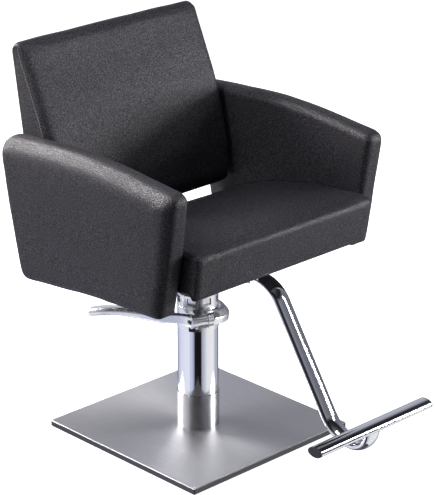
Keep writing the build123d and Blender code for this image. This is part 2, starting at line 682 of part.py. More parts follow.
seat_front, seat_rear = -268.0, 216.0
with BuildPart() as seat_cushion:
    with BuildSketch(Plane.YZ) as seat_side:
        with BuildLine():
            Spline((-257, 528), (-204, 530), (-104, 522), (31, 491), (106, 463), (205, 420),
                   tangents=((1, 0.12), (1, -0.42)))
            Polyline((205, 420), (seat_rear, 414), (seat_rear - 4, seat_z - seat_slope * (seat_rear - 4)),
                     (-256, seat_z + seat_slope * 256), (seat_front, 524), (-257, 528))
        make_face()
        fillet(seat_side.vertices().filter_by(lambda v: v.X > 210), 5.0)
        fillet(seat_side.vertices().filter_by(lambda v: abs(v.X + 256) < 0.5 and v.Y < 500), 7.0)
        fillet(seat_side.vertices().filter_by(lambda v: abs(v.X - seat_front) < 0.5), 6.0)
    extrude(amount=cushion_half, both=True)
    with BuildSketch(Plane.XY.offset(380.0)):
        with Locations((0, (seat_front + seat_rear) / 2)):
            RectangleRounded(2 * cushion_half, seat_rear - seat_front, 16.0)
    extrude(amount=170.0, mode=Mode.INTERSECT)
    with BuildSketch(tilt.offset(-1.0)):
        with Locations((0, (board_y0 + board_y1) / 2)):
            RectangleRounded(board_w, board_y1 - board_y0, 15.0)
    extrude(amount=board_thick + 1.0, mode=Mode.SUBTRACT)
seat_cushion.part.label = "seat_cushion"
export_step(seat_cushion.part, "parts/seat_cushion.step")

# ============================================================ arms
# plywood panel inside each arm, sealed in the upholstery
panel_x0, panel_x1 = 266.0, 281.0
for side, sx in (("left", 1), ("right", -1)):
    with BuildPart() as arm_panel:
        with BuildSketch(Plane(origin=(sx * panel_x0, 0, 0), x_dir=(0, 1, 0), z_dir=(1, 0, 0))) as panel_side:
            with BuildLine():
                Polyline((-215, 640), (235, 645), (195, 395), (-175, 425), close=True)
            make_face()
        extrude(amount=sx * (panel_x1 - panel_x0))
        for y in angle_holes:
            p = on_tilt(sx * 200.0, y, -17.0)
            with BuildSketch(Plane(origin=(p.X, p.Y, p.Z), x_dir=(0, 1, 0), z_dir=(sx, 0, 0))):
                Circle(3.0)
            extrude(amount=78.3, mode=Mode.SUBTRACT)
    arm_panel.part.label = "arm_panel_" + side
    export_step(arm_panel.part, "parts/arm_panel_" + side + ".step")

    with BuildPart() as arm:
        with BuildSketch(Plane(origin=(sx * arm_in, 0, 0), x_dir=(0, 1, 0), z_dir=(1, 0, 0))) as arm_side:
            with BuildLine():
                ThreePointArc((-247, 661), (0, 682), (269, 668))
                Polyline((269, 668), (212, 372), (-200, 404), (-247, 661))
            make_face()
            fillet(arm_side.vertices().filter_by(lambda v: v.X > 240), 30.0)
            fillet(arm_side.vertices().filter_by(lambda v: 200 < v.X < 220), 24.0)
            fillet(arm_side.vertices().filter_by(lambda v: -205 < v.X < -195), 14.0)
            fillet(arm_side.vertices().filter_by(lambda v: v.X < -240), 22.0)
        extrude(amount=sx * (arm_out - arm_in))
        fillet(arm.faces().filter_by(Axis.X).sort_by(Axis.X)[-1 if sx > 0 else 0].edges(), 12.0)
        fillet(arm.faces().filter_by(Axis.X).sort_by(Axis.X)[0 if sx > 0 else -1].edges(), 8.0)
        # space for the panel
        with BuildSketch(Plane(origin=(sx * panel_x0, 0, 0), x_dir=(0, 1, 0), z_dir=(1, 0, 0))):
            with BuildLine():
                Polyline((-215, 640), (235, 645), (195, 395), (-175, 425), close=True)
            make_face()
        extrude(amount=sx * (panel_x1 - panel_x0), mode=Mode.SUBTRACT)
        for y in angle_holes:
            p = on_tilt(sx * 200.0, y, -17.0)
            with BuildSketch(Plane(origin=(p.X, p.Y, p.Z), x_dir=(0, 1, 0), z_dir=(sx, 0, 0))):
                Circle(3.0)
            extrude(amount=78.3, mode=Mode.SUBTRACT)
    arm.part.label = "arm_" + side
    export_step(arm.part, "parts/arm_" + side + ".step")

# ============================================================ backrest
panel_back = back_face(0, 640.0).offset(-14.0)
with BuildPart() as back_panel:
    with BuildSketch(panel_back):
        RectangleRounded(400.0, 290.0, 20.0)
        for sx in (-1, 1):
            for z in strap_holes_back:
                with Locations((sx * strap_x, -(z - 640.0) / cos(atan2(rear_slope, 1)))):
                    Circle(4.0, mode=Mode.SUBTRACT)
    extrude(amount=-12.0)
back_panel.part.label = "back_panel"
export_step(back_panel.part, "parts/back_panel.step")

with BuildPart() as backrest:
    with BuildSketch(Plane.YZ) as back_side:
        with BuildLine():
            Spline((261, 841), (246, 806), (193, 690), (159, 560), (154, 497),
                   tangents=((-0.3, -1), (0.05, -1)))
            Polyline((154, 497), (157, 463), back_rear0, back_rear1)
            ThreePointArc(back_rear1, (279, 851), (261, 841))
        make_face()
        fillet(back_side.vertices().filter_by(lambda v: abs(v.Y - 463) < 0.5), 13.0)
    extrude(amount=back_half, both=True)
    with BuildSketch(Plane(origin=(0, 100, 0), x_dir=(1, 0, 0), z_dir=(0, -1, 0))) as back_front:
        with Locations((0, (852 + 463) / 2)):
            Rectangle(2 * back_half, 852 - 463)
        fillet(back_front.vertices().filter_by(lambda v: v.Y < 500), 34.0)
        fillet(back_front.vertices().filter_by(lambda v: v.Y > 800), 22.0)
    extrude(amount=-300.0, mode=Mode.INTERSECT)
    with BuildSketch(panel_back):
        RectangleRounded(400.0, 290.0, 20.0)
    extrude(amount=-12.0, mode=Mode.SUBTRACT)
    for sx in (-1, 1):
        for z in strap_holes_back:
            with BuildSketch(back_face(sx * strap_x, z).offset(1.0)):
                Circle(4.0)
            extrude(amount=-25.0, mode=Mode.SUBTRACT)
backrest.part.label = "backrest"
export_step(backrest.part, "parts/backrest.step")
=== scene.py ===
import bpy, bmesh, json, math
from math import cos, sin, pi, radians, hypot, sqrt
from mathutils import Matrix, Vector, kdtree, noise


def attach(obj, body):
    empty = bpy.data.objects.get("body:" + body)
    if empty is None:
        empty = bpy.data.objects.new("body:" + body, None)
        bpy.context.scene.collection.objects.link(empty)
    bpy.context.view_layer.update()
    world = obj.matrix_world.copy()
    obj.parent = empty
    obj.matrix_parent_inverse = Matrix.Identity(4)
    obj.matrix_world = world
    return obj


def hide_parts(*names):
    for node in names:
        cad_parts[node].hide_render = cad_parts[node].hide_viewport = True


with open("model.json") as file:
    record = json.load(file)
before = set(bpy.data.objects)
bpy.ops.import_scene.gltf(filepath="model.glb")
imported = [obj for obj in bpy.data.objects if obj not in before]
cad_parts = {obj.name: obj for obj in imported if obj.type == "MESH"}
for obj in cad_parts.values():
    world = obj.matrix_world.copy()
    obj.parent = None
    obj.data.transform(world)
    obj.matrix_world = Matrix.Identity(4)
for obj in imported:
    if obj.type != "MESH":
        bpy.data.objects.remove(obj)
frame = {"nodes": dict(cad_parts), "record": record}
nodes, record = frame["nodes"], frame["record"]
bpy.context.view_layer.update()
scene = bpy.context.scene
MM = 0.001

# ------------------------------------------------------------------ outlines


def rounded(verts, step=5.0):
    """Closed outline from corners (y, z, radius), sampled every step mm."""
    n, out = len(verts), []
    for i in range(n):
        p = Vector(verts[i][:2])
        a = Vector(verts[i - 1][:2]) - p
        b = Vector(verts[(i + 1) % n][:2]) - p
        la, lb = a.length, b.length
        a.normalize(); b.normalize()
        ang = a.angle(b)
        r = verts[i][2]
        t = r / math.tan(ang / 2) if r > 0 else 0.0
        lim = 0.49 * min(la, lb)
        if t > lim:
            t = lim
            r = t * math.tan(ang / 2)
        if r <= 0:
            out.append(p)
            continue
        c = p + (a + b).normalized() * (r / sin(ang / 2))
        s, e = p + a * t - c, p + b * t - c
        sweep = pi - ang
        m = max(2, int(r * sweep / step * 1.6) + 2)
        for k in range(m + 1):
            f = k / m
            v = s * (sin((1 - f) * sweep) / sin(sweep)) + e * (sin(f * sweep) / sin(sweep)) if sweep > 1e-3 else s.lerp(e, f)
            out.append(c + v)
    return out


def resample(pts, n):
    L = [0.0]
    for i in range(len(pts)):
        L.append(L[-1] + (pts[(i + 1) % len(pts)] - pts[i]).length)
    tot, out, j = L[-1], [], 0
    for k in range(n):
        s = tot * k / n
        while L[j + 1] < s:
            j += 1
        f = (s - L[j]) / max(1e-9, L[j + 1] - L[j])
        out.append(pts[j].lerp(pts[(j + 1) % len(pts)], f))
    return out


def smooth_closed(pts, times=2):
    for _ in range(times):
        n = len(pts)
        pts = [(pts[i - 1] + pts[i] * 2 + pts[(i + 1) % n]) / 4 for i in range(n)]
    return pts


def normals(pts):
    n, out = len(pts), []
    area = sum(pts[i].x * pts[(i + 1) % n].y - pts[(i + 1) % n].x * pts[i].y for i in range(n))
    sg = 1 if area > 0 else -1
    for i in range(n):
        t = (pts[(i + 1) % n] - pts[i - 1]).normalized()
        out.append(Vector((t.y, -t.x)) * sg)
    return out


def sstep(a, b, x):
    t = min(1.0, max(0.0, (x - a) / (b - a)))
    return t * t * (3 - 2 * t)


SEAM_ROWS = {}


def slab(name, outline, half, radius, mid_rings, face_rings=14, round_rings=9, seam=None, face_crown=0.0, post=None):
    """A padded form: the outline (y, z) carried across x from -half to half, its rim rounded off.
    radius(y, z, ny, nz, side) is the rim's radius in mm, or a pair: across the piece, and inwards along its side.
    seam(...) gives the rounding angle that carries a seam."""
    n = len(outline)
    nor = normals(outline)
    eased = [v.copy() for v in nor]
    for _ in range(150):
        eased = [(eased[i - 1] + eased[i] * 2 + eased[(i + 1) % n]) / 4 for i in range(n)]
    eased = [v.normalized() for v in eased]
    cy = sum(p.x for p in outline) / n
    cz = sum(p.y for p in outline) / n
    rings = []

    def ring(side, phi, push=0.0, seam_at=None):
        row = []
        for p, m, e in zip(outline, nor, eased):
            r = radius(p.x, p.y, m.x, m.y, side)
            rx, rn = r if isinstance(r, tuple) else (r, r)
            x = side * (half - rx + rx * sin(phi))
            ins = rn * (1 - cos(phi))
            q = m.lerp(e, sstep(9, 22, rn)).normalized()
            d = push(p.x, p.y, m.x, m.y) if callable(push) else push
            row.append(Vector((x + side * d * sin(phi), p.x - q.x * ins + m.x * d * cos(phi), p.y - q.y * ins + m.y * d * cos(phi))))
        return row

    def rim(side):
        """rings from the start of the rounding to the face edge, with the seam's own rings in between"""
        phis = [(pi / 2 * k / round_rings, 0.0) for k in range(round_rings + 1)]
        if seam and seam(side) is not None:
            ps, depth, mask = seam(side)
            w = 0.055
            phis = [q for q in phis if abs(q[0] - ps) > w * 2.2]
            for dw, dd in ((-2.0, 0.25), (-1.0, 0.35), (-0.45, -0.35), (0.0, -1.0), (0.45, -0.35), (1.0, 0.35), (2.0, 0.25)):
                phis.append((ps + dw * w, dd * depth))
            phis.sort(key=lambda q: q[0])
            return [ring(side, f, (lambda y, z, ny, nz, d=d: d * mask(y, z, ny, nz)) if d else 0.0) for f, d in phis], [q[0] for q in phis]
        return [ring(side, f, d) for f, d in phis], [q[0] for q in phis]

    left, left_phi = rim(-1)
    right, right_phi = rim(1)
    mids = []
    a, b = left[0], right[0]
    for k in range(1, mid_rings):
        mids.append([p.lerp(q, k / mid_rings) for p, q in zip(a, b)])

    def face(side, edge):
        rows = []
        for k in range(1, face_rings + 1):
            f = 1 - k / (face_rings + 0.6)
            row = []
            for p in edge:
                c = Vector((side * half, cy, cz))
                q = c.lerp(Vector((side * half, p.y, p.z)), f)
                q.x = p.x + (side * half - p.x) + side * face_crown * (1 - f * f) * (1 if f < 1 else 0)
                row.append(q)
            # the corners of the outline fade out towards the middle of the face
            for _ in range(min(40, 3 * k)):
                row = [Vector((row[i].x, (row[i - 1].y + 2 * row[i].y + row[(i + 1) % n].y) / 4,
                               (row[i - 1].z + 2 * row[i].z + row[(i + 1) % n].z) / 4)) for i in range(n)]
            rows.append(row)
        return rows

    lf = face(-1, left[-1])
    rf = face(1, right[-1])
    rings = lf[::-1] + left[::-1] + mids + right + rf
    verts = [v for row in rings for v in row]
    if post:
        verts = [post(v) for v in verts]
    m = len(rings)
    if seam and seam(-1):
        k = min(range(len(left)), key=lambda q: abs(left_phi[q] - seam(-1)[0]))
        SEAM_ROWS[(name, -1)] = (n, len(lf) + len(left) - 1 - k)
    if seam and seam(1):
        k = min(range(len(right)), key=lambda q: abs(right_phi[q] - seam(1)[0]))
        SEAM_ROWS[(name, 1)] = (n, len(lf) + len(left) + len(mids) + k)
    faces = []
    for i in range(m - 1):
        for j in range(n):
            k = (j + 1) % n
            faces.append((i * n + j, i * n + k, (i + 1) * n + k, (i + 1) * n + j))
    faces.append(tuple(range(n - 1, -1, -1)))
    faces.append(tuple((m - 1) * n + j for j in range(n)))
    me = bpy.data.meshes.new(name)
    me.from_pydata([tuple(v * MM) for v in verts], [], faces)
    me.update()
    bm = bmesh.new(); bm.from_mesh(me)
    bmesh.ops.recalc_face_normals(bm, faces=bm.faces)
    bm.to_mesh(me); bm.free()
    me.polygons.foreach_set("use_smooth", [True] * len(me.polygons))
    ob = bpy.data.objects.new(name, me)
    scene.collection.objects.link(ob)
    return ob


def soften(ob, amp, scale, seed, detail=2, mask=None):
    """Uneven padding under the cover: low dents along the surface normal. amp in mm, scale in mm."""
    me = ob.data
    off = Vector((seed * 7.13, seed * 3.71, seed * 5.37))
    vn = [v.normal.copy() for v in me.vertices]
    for v, nn in zip(me.vertices, vn):
        p = v.co / (scale * MM) + off
        d = noise.noise(p) + 0.4 * noise.noise(p * 2.3 + off)
        w = mask(v.co / MM) if mask else 1.0
        v.co = v.co + nn * (d * amp * w * MM)
    me.update()


def inflate(ob, cap, give):
    """The padding pushes the cover out: a short cloth simulation with air pressure on a coarse copy,
    its outward movement capped and carried back to the fine mesh. give(p) scales it per axis at a point in mm."""
    tmp = ob.copy()
    tmp.data = ob.data.copy()
    scene.collection.objects.link(tmp)
    rm = tmp.modifiers.new("remesh", "REMESH")
    rm.mode = "VOXEL"
    rm.voxel_size = 0.006
    dg = bpy.context.evaluated_depsgraph_get()
    coarse = bpy.data.meshes.new_from_object(tmp.evaluated_get(dg))
    tmp.modifiers.clear()
    tmp.data = coarse
    start = [v.co.copy() for v in coarse.vertices]
    cl = tmp.modifiers.new("cloth", "CLOTH")
    st = cl.settings
    st.quality = 4
    st.mass = 0.3
    st.tension_stiffness = 12
    st.compression_stiffness = 12
    st.shear_stiffness = 6
    st.bending_stiffness = 0.6
    st.use_pressure = True
    st.uniform_pressure_force = 4.0
    st.effector_weights.gravity = 0.0
    cl.point_cache.frame_start = 1
    cl.point_cache.frame_end = 20
    for f in range(1, 21):
        scene.frame_set(f)
    dg = bpy.context.evaluated_depsgraph_get()
    ev = tmp.evaluated_get(dg)
    em = ev.to_mesh()
    moved = [em.vertices[i].co - start[i] for i in range(len(start))]
    ev.to_mesh_clear()
    scene.frame_set(1)
    mean = sum(moved, Vector()) / len(moved)
    kd = kdtree.KDTree(len(start))
    for i, p in enumerate(start):
        kd.insert(p, i)
    kd.balance()
    me = ob.data
    swell = []
    for v in me.vertices:
        tot, acc = 0.0, Vector()
        for _, i, d in kd.find_n(v.co, 6):
            w = 1 / (d + 0.002)
            acc += (moved[i] - mean) * w
            tot += w
        swell.append(max(0.0, (acc / tot).dot(v.normal)))
    near = [[] for _ in me.vertices]
    for e in me.edges:
        near[e.vertices[0]].append(e.vertices[1])
        near[e.vertices[1]].append(e.vertices[0])
    for _ in range(14):
        swell = [0.4 * w + 0.6 * sum(swell[k] for k in near[i]) / len(near[i]) for i, w in enumerate(swell)]
    c = cap * MM
    vn = [v.normal.copy() for v in me.vertices]
    for v, w, nn in zip(me.vertices, swell, vn):
        g = give(v.co / MM)
        d = nn * (c * math.tanh(w / c))
        v.co = v.co + Vector((d.x * g[0], d.y * g[1], d.z * g[2]))
    ob.data.update()
    bpy.data.objects.remove(tmp, do_unlink=True)
    bpy.data.meshes.remove(coarse)


def stitches(ob, side, keep, pitch=5.2, length=3.3, inward=2):
    """A row of stitches sewn beside a seam, in the same mesh as the piece, on its second material slot."""
    n, row = SEAM_ROWS[(ob.name, side)]
    me = ob.data
    row += side * inward
    path = [(me.vertices[row * n + j].co.copy(), me.vertices[row * n + j].normal.copy()) for j in range(n)]
    bm = bmesh.new(); bm.from_mesh(me)
    carry = 0.0
    for j in range(n):
        (a, na), (b, nb) = path[j], path[(j + 1) % n]
        seg = (b - a).length / MM
        t = carry
        while t < seg:
            p = a.lerp(b, t / seg)
            if keep(p / MM):
                nn = na.lerp(nb, t / seg).normalized()
                u = (b - a).normalized()
                w = nn.cross(u).normalized()
                hl, hw = length / 2 * MM, 0.5 * MM
                pts = []
                for du, dh in ((-1.0, -0.25), (-0.55, 0.35), (0.55, 0.35), (1.0, -0.25)):
                    for dw in (-1, 1):
                        pts.append(bm.verts.new(p + u * (du * hl) + w * (dw * hw) + nn * (dh * MM)))
                bot = [bm.verts.new(p + u * (du * hl) + w * (dw * hw) - nn * (0.9 * MM)) for du in (-1, 1) for dw in (-1, 1)]
                quads = [(pts[0], pts[1], pts[3], pts[2]), (pts[2], pts[3], pts[5], pts[4]), (pts[4], pts[5], pts[7], pts[6]),
                         (bot[0], bot[2], bot[3], bot[1]), (bot[0], bot[1], pts[1], pts[0]), (bot[3], bot[2], pts[6], pts[7])]
                for q in quads:
                    bm.faces.new(q).material_index = 1
                bm.faces.new((pts[0], pts[2], pts[4], pts[6], bot[2], bot[0])).material_index = 1
                bm.faces.new((pts[1], bot[1], bot[3], pts[7], pts[5], pts[3])).material_index = 1
            t += pitch
        carry = t - seg
    bmesh.ops.recalc_face_normals(bm, faces=[f for f in bm.faces if f.material_index == 1])
    bm.to_mesh(me); bm.free()
    me.update()


# ------------------------------------------------------------------ arms
ARM_IN, ARM_HALF = 250.5, 27.5


def arm_outline(toe_y, toe_z):
    return smooth_closed(resample(rounded([
        (toe_y, toe_z, 10), (0, 389, 700), (214, 366.5, 11), (251, 530, 900), (270, 667, 30), (4, 686.5, 1500), (-249.5, 661.5, 20),
        (-225, 500, 900)]), 320), 2)


def relax(ob, times, mask):
    """Evens out a region of a mesh: every vertex moves towards the middle of its neighbours. mask(p) is its share at a point in mm."""
    me = ob.data
    near = [[] for _ in me.vertices]
    for e in me.edges:
        near[e.vertices[0]].append(e.vertices[1])
        near[e.vertices[1]].append(e.vertices[0])
    share = [mask(v.co / MM) for v in me.vertices]
    pos = [v.co.copy() for v in me.vertices]
    act = [i for i, w in enumerate(share) if w > 0.001]
    for _ in range(times):
        new = {i: pos[i].lerp(sum((pos[k] for k in near[i]), Vector()) / len(near[i]), 0.5 * share[i]) for i in act}
        for i, p in new.items():
            pos[i] = p
    for i in act:
        me.vertices[i].co = pos[i]
    me.update()


def arm_radius(y, z, ny, nz, side):
    """the top is a full roll, drawn further down the outer side, the front and rear are rounded less, the foot least"""
    h = sstep(-0.35, 0.55, z / 100 - 5.75) * 0.35 + sstep(0.1, 0.95, nz) * 0.65
    low = sstep(0.3, 0.9, -nz)
    rear = sstep(0.4, 0.95, ny) * (1 - sstep(0.2, 0.8, nz))
    if side > 0:
        rx = 18.0 + 10.0 * h
        rn = 18.0 + 19.0 * h
    else:
        rx = 13.9 + 6.0 * h
        rn = 13.9 + 6.0 * h
    front = sstep(0.5, 0.95, -ny) * (1 if side > 0 else 0)
    rx, rn = rx - 7.0 * low + (7.0 - rx) * rear * 0.85, rn - 7.0 * low + (8.0 - rn) * rear * 0.85
    return rx + (24.0 - rx) * front * 0.7, rn + (24.0 - rn) * front * 0.7


def arm_post(v):
    # the outer face leans in a little towards the floor, the inner one stays straight
    x = v.x
    low = (660 - v.z) / 270
    if x > 0:
        x -= 5.0 * max(0.0, low) * (x / ARM_HALF)
    x += 0.0
    return Vector((x, v.y, v.z))


def make_arm(name, sx):
    # the sewn toe of each pad hangs a little differently
    ob = slab(name, arm_outline(-205, 398) if sx < 0 else arm_outline(-209, 406), ARM_HALF, arm_radius, 6, face_rings=26, round_rings=10,
              face_crown=2.2, post=arm_post)
    for v in ob.data.vertices:
        x = v.co.x / MM + ARM_IN + ARM_HALF
        v.co.x = sx * x * MM
    if sx < 0:
        ob.data.flip_normals()
    ob.data.update()
    relax(ob, 30, lambda p: sstep(ARM_IN + 40, ARM_IN + 51, abs(p.x)))
    # the outer side swells, the inner one stays flat beside the seat
    inflate(ob, 4.0, lambda p: (sstep(ARM_IN + 8, ARM_IN + 30, abs(p.x)), 0.6, 0.6))
    soften(ob, 0.9, 85, 3 if sx > 0 else 11, mask=lambda p: 0.35 + 0.65 * sstep(ARM_IN + 2, ARM_IN + 20, abs(p.x)))
    return ob


# ------------------------------------------------------------------ seat
SEAT_HALF = 249.3
seat_pts = [(212, 401.0, 6), (216.5, 413, 6), (198, 421.5, 80), (150, 443.5, 200), (106, 462.5, 200), (62, 478.5, 200), (31, 489.5, 200), (-20, 503, 300),
            (-104, 519.5, 300), (-204, 528.3, 300), (-266, 530.5, 10), (-256.5, 446.2, 7)]
seat_outline = smooth_closed(resample(rounded(seat_pts), 250), 2)


def seat_radius(y, z, ny, nz, side):
    front = sstep(0.3, 0.8, -ny)
    under = sstep(0.5, 0.9, -nz)
    return 7.0 + 9.0 * front + 2 * under


def seat_post(v):
    w = max(0.0, 1 - (v.x / SEAT_HALF) ** 2)
    up = sstep(446, 500, v.z) * sstep(-266, -190, v.y) * 7.0 + sstep(446, 500, v.z) * 2.5
    back = sstep(60, 215, v.y)
    # lower edge draws in a little between the corners and towards the floor
    low = sstep(520, 446, v.z) * sstep(-150, -250, v.y)
    x = v.x * (1 - 0.006 * low)
    under = 421 - 0.0963 * v.y + 4
    z = v.z + (w ** 0.8) * (up + back * 5.0) if v.z > under + 6 else v.z
    y = v.y - 2.2 * w * sstep(-240, -262, v.y) * sstep(450, 480, v.z)
    # the cover's front hangs as a lip before the board and leans under
    y += 5.0 * sstep(526, 444, v.z) * sstep(-226, -254, v.y)
    z -= 11.0 * sstep(522, 446, v.z) * sstep(-237, -248, v.y)
    return Vector((x, y, z))


# ------------------------------------------------------------------ back
BACK_HALF = 246.0
back_pts = [(157, 463, 12), (232, 463, 12), (291, 833, 14), (280, 851.5, 12), (263, 846, 22), (247, 808, 200), (193, 690, 400), (171, 615, 400),
            (159.5, 560, 300), (154.5, 500, 60)]
back_outline = smooth_closed(resample(rounded(back_pts), 250), 2)


def back_radius(y, z, ny, nz, side):
    front = sstep(0.2, 0.8, -ny)
    rear = sstep(0.2, 0.8, ny)
    top = sstep(0.3, 0.9, nz)
    bot = sstep(0.3, 0.9, -nz)
    r = 6 + 6.0 * front - 1.0 * rear
    r = r + ((20.0 if side > 0 else 9.0) - r) * top * sstep(780, 840, z)
    r = r + (30 - r) * bot * sstep(500, 470, z)
    return r


def back_post(v):
    w = max(0.0, 1 - (v.x / BACK_HALF) ** 2)
    wz = max(0.0, 1 - ((v.z - 655) / 195) ** 2)
    mid = 232 + (v.z - 463) * 0.1595 - 20
    y = v.y - 5.0 * (w ** 0.7) * (wz ** 0.7) if v.y < mid else v.y + 2.0 * (w ** 0.7) * (wz ** 0.7)
    # the top edge rises slightly between its corners
    z = v.z + 1.5 * w * sstep(800, 850, v.z)
    return Vector((v.x, y, z))


def back_seam(side):
    return (radians(80), 0.9, lambda y, z, ny, nz: 1.0)


seat = slab("seat_pad", seat_outline, SEAT_HALF, seat_radius, 84, face_rings=16, round_rings=8,
            seam=lambda s: (radians(48), 0.9, lambda y, z, ny, nz: sstep(0.2, 0.7, -ny)), face_crown=0.0, post=seat_post)
inflate(seat, 5.0, lambda p: (0.0, sstep(-150, -240, p.y) * sstep(440, 480, p.z) * 0.6, sstep(440, 480, p.z + 0.12 * p.y)))
soften(seat, 1.1, 110, 5, mask=lambda p: sstep(440, 470, p.z) * sstep(SEAT_HALF, SEAT_HALF - 12, abs(p.x)))
back = slab("back_pad", back_outline, BACK_HALF, back_radius, 80, face_rings=12, round_rings=9,
            seam=back_seam, face_crown=1.0, post=back_post)
inflate(back, 5.0, lambda p: (0.25, 1.0 if p.y < 232 + (p.z - 463) * 0.1595 - 25 else 0.15, 0.5))
soften(back, 1.3, 120, 8, mask=lambda p: 0.25 + 0.75 * sstep(BACK_HALF, BACK_HALF - 14, abs(p.x)))
back.data.update()
for sd in (-1, 1):
    stitches(back, sd, lambda p: p.z > 495 and p.y < 232 + (p.z - 463) * 0.1595 - 22 and p.z < 843)
arm_l = make_arm("arm_pad_left", 1)
arm_r = make_arm("arm_pad_right", -1)

# ------------------------------------------------------------------ materials


def material(name):
    m = bpy.data.materials.new(name)
    m.use_nodes = True
    nt = m.node_tree
    return m, nt, nt.nodes["Principled BSDF"]


def node(nt, kind, **kw):
    n = nt.nodes.new(kind)
    for k, v in kw.items():
        if k in n.inputs:
            n.inputs[k].default_value = v
        else:
            setattr(n, k, v)
    return n


def ramp(nt, src, stops):
    r = nt.nodes.new("ShaderNodeValToRGB")
    cr = r.color_ramp
    while len(cr.elements) > len(stops):
        cr.elements.remove(cr.elements[-1])
    while len(cr.elements) < len(stops):
        cr.elements.new(0.5)
    for e, (p, c) in zip(cr.elements, stops):
        e.position = p
        e.color = c if len(c) == 4 else (*c, 1)
    nt.links.new(src, r.inputs[0])
    return r


def leatherette():
    m, nt, b = material("leatherette")
    L = nt.links
    tc = node(nt, "ShaderNodeTexCoord")
    peb = node(nt, "ShaderNodeTexVoronoi", feature="SMOOTH_F1")
    peb.inputs["Scale"].default_value = 600
    peb.inputs["Smoothness"].default_value = 0.5
    peb.inputs["Randomness"].default_value = 1.0
    fine = node(nt, "ShaderNodeTexNoise")
    fine.inputs["Scale"].default_value = 780
    fine.inputs["Detail"].default_value = 2
    mid = node(nt, "ShaderNodeTexNoise")
    mid.inputs["Scale"].default_value = 400
    mid.inputs["Detail"].default_value = 2
    big = node(nt, "ShaderNodeTexNoise")
    big.inputs["Scale"].default_value = 7
    big.inputs["Detail"].default_value = 3
    for t in (peb, fine, mid, big):
        L.new(tc.outputs["Object"], t.inputs["Vector"])
    a1 = node(nt, "ShaderNodeMath", operation="MULTIPLY"); L.new(peb.outputs["Distance"], a1.inputs[0]); a1.inputs[1].default_value = -1.2
    a2 = node(nt, "ShaderNodeMath", operation="MULTIPLY_ADD"); L.new(fine.outputs["Fac"], a2.inputs[0]); a2.inputs[1].default_value = 0.4; L.new(a1.outputs[0], a2.inputs[2])
    a3 = node(nt, "ShaderNodeMath", operation="MULTIPLY_ADD"); L.new(mid.outputs["Fac"], a3.inputs[0]); a3.inputs[1].default_value = 1.6; L.new(a2.outputs[0], a3.inputs[2])
    bump = node(nt, "ShaderNodeBump")
    bump.inputs["Strength"].default_value = 0.6
    bump.inputs["Distance"].default_value = 0.0008
    L.new(a3.outputs[0], bump.inputs["Height"])
    L.new(bump.outputs["Normal"], b.inputs["Normal"])
    # the base colour follows the grain's own tone, with its tops painted lighter than its pits as a painted highlight
    # on the pebbles, and every stop tinted blue as painted cool shade
    grain_tone_and_painted_highlight = ramp(nt, mid.outputs["Fac"], [(0.38, (0.0035, 0.0033, 0.0055)), (0.50, (0.0105, 0.0100, 0.0150)), (0.60, (0.049, 0.0465, 0.0530))])
    L.new(grain_tone_and_painted_highlight.outputs["Color"], b.inputs["Base Color"])
    # and shinier: roughness follows the grain and drifts slowly over the cover
    rr = ramp(nt, mid.outputs["Fac"], [(0.38, (0.62, 0.62, 0.62)), (0.50, (0.48, 0.48, 0.48)), (0.62, (0.37, 0.37, 0.37))])
    drift = node(nt, "ShaderNodeMath", operation="MULTIPLY_ADD")
    L.new(big.outputs["Fac"], drift.inputs[0]); drift.inputs[1].default_value = 0.16; drift.inputs[2].default_value = -0.08
    rsum = node(nt, "ShaderNodeMath", operation="ADD")
    L.new(rr.outputs["Color"], rsum.inputs[0]); L.new(drift.outputs[0], rsum.inputs[1])
    L.new(rsum.outputs[0], b.inputs["Roughness"])
    b.inputs["Specular IOR Level"].default_value = 0.45
    return m


def chrome(name, rough=0.06, wave=0.0, tint=(0.86, 0.87, 0.90)):
    m, nt, b = material(name)
    L = nt.links
    b.inputs["Metallic"].default_value = 1.0
    tc = node(nt, "ShaderNodeTexCoord")
    n1 = node(nt, "ShaderNodeTexNoise"); n1.inputs["Scale"].default_value = 60; n1.inputs["Detail"].default_value = 5
    n2 = node(nt, "ShaderNodeTexNoise"); n2.inputs["Scale"].default_value = 420; n2.inputs["Detail"].default_value = 2
    for t in (n1, n2):
        L.new(tc.outputs["Object"], t.inputs["Vector"])
    c = ramp(nt, n1.outputs["Fac"], [(0.3, tuple(x * 0.97 for x in tint)), (0.7, tint)])
    L.new(c.outputs["Color"], b.inputs["Base Color"])
    r = ramp(nt, n1.outputs["Fac"], [(0.35, (rough,) * 3), (0.75, (rough * 1.7,) * 3)])
    L.new(r.outputs["Color"], b.inputs["Roughness"])
    bump = node(nt, "ShaderNodeBump")
    bump.inputs["Strength"].default_value = 0.10 + wave
    bump.inputs["Distance"].default_value = 0.0003
    L.new((n2 if wave == 0 else n1).outputs["Fac"], bump.inputs["Height"])
    L.new(bump.outputs["Normal"], b.inputs["Normal"])
    return m


